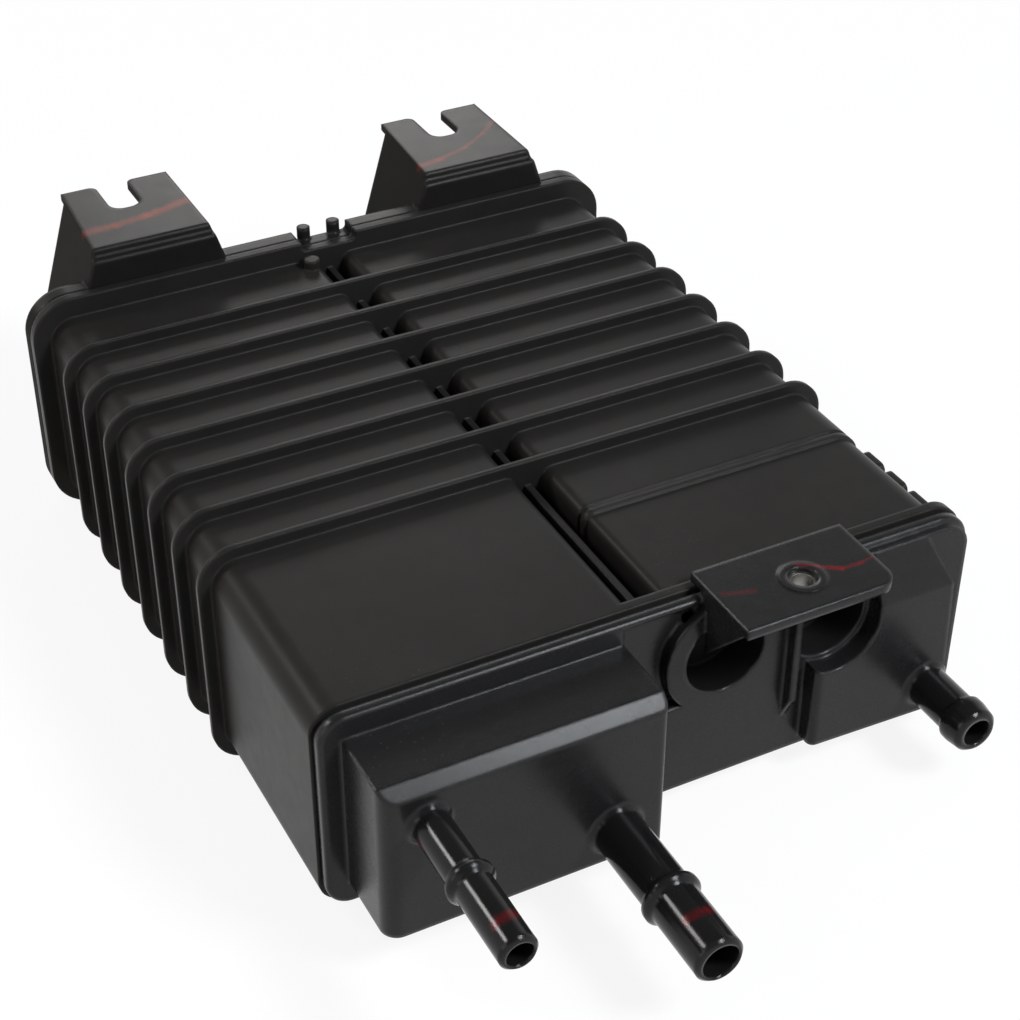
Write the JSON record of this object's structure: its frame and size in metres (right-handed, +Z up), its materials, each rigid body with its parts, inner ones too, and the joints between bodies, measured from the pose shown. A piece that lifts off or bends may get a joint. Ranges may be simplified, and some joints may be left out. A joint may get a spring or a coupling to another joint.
{
  "type": "charcoal canister",
  "caption": "Ribbed two-chamber charcoal canister for fuel vapour, with ported front cover, mounting shelf and slotted rear hangers.",
  "frame": {"origin": "under the middle of the overall box, on the surface that the canister stands on", "axes": "+X to the right along the ported front, +Y to the rear with the hangers, +Z up"},
  "size_m": [0.2314, 0.3816, 0.1008],
  "materials": {
    "housing": "satin moulded",
    "front_cover": "satin moulded",
    "rear_cover": "satin moulded",
    "zinc_steel": "zinc plated",
    "carbon": "pelleted, dull",
    "fleece": "needled felt",
    "grid": "moulded",
    "spring_steel": "bright drawn"
  },
  "bodies": {
    "root": {"canister_body": "housing", "front_cover": "front_cover", "rear_cover": "rear_cover", "mounting_sleeve": "zinc_steel", "carbon_bed_left": "carbon", "carbon_bed_right_front": "carbon", "carbon_bed_right_rear": "carbon", "front_fleece_left": "fleece", "front_fleece_right": "fleece", "rear_fleece_left": "fleece", "rear_fleece_right": "fleece", "divider_fleece_front": "fleece", "divider_fleece_rear": "fleece", "front_grid_left": "grid", "front_grid_right": "grid", "divider_grid": "grid", "pressure_plate_left": "grid", "pressure_plate_right": "grid", "spring_left": "spring_steel", "spring_right": "spring_steel"}
  },
  "joints": []
}
